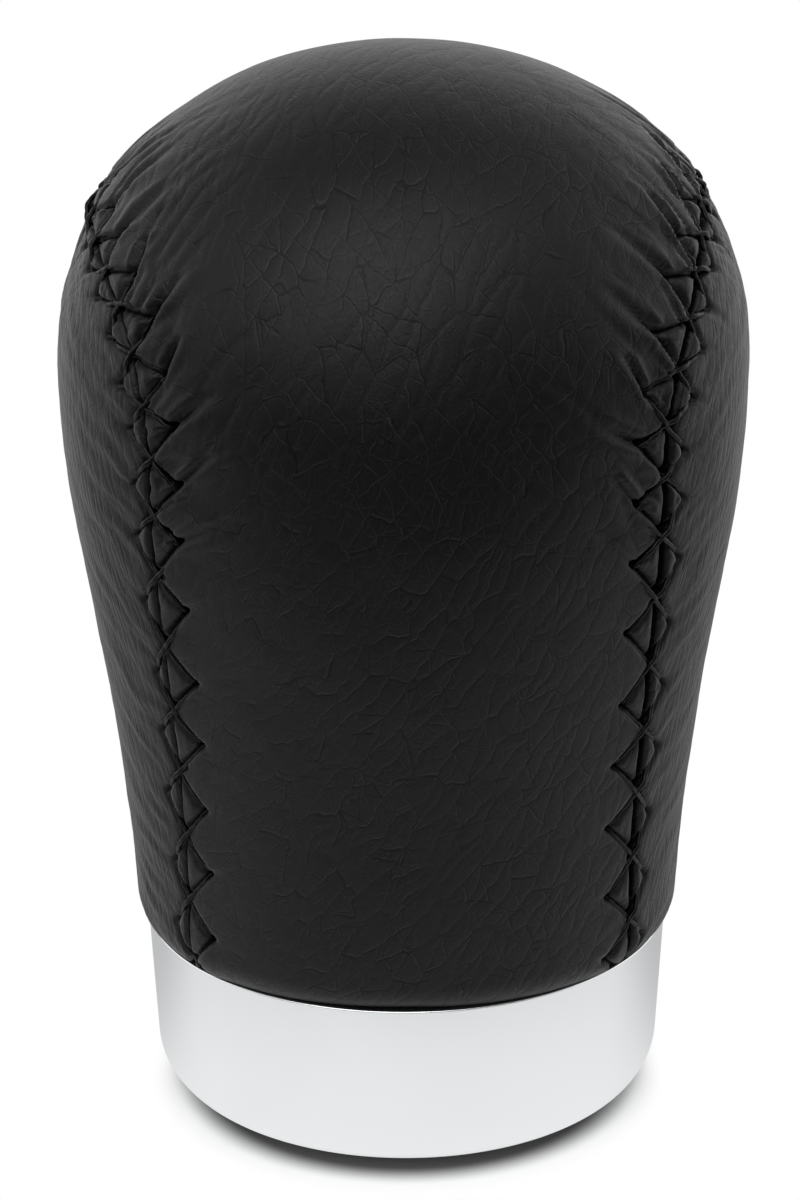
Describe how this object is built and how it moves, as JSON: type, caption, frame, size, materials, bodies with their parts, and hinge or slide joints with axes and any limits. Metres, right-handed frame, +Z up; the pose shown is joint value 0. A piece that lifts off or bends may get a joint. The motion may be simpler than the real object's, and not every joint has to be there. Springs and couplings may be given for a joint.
{
  "type": "gear shift knob",
  "caption": "Pear-shaped gear shift knob: a laced leather cover over a moulded core, on a plated base ring, with a threaded insert that screws onto the gear lever.",
  "frame": {"origin": "middle of the base ring's underside, on the lever's axis", "axes": "+Z up along the lever's axis to the crown; -Y is the front of the knob; +X is its right, with a laced seam on each side"},
  "size_m": [0.053, 0.053, 0.084],
  "materials": {
    "leather": "black, fine pebble grain, semi-matt",
    "thread": "black waxed thread",
    "plated": "satin plated",
    "core": "moulded, plain",
    "insert": "turned and tapped"
  },
  "bodies": {
    "root": {"core": "core", "threaded_insert": "insert", "base_ring": "plated", "main_panel": "leather", "left_panel": "leather", "right_panel": "leather", "left_lacing": "thread", "right_lacing": "thread"}
  },
  "joints": []
}
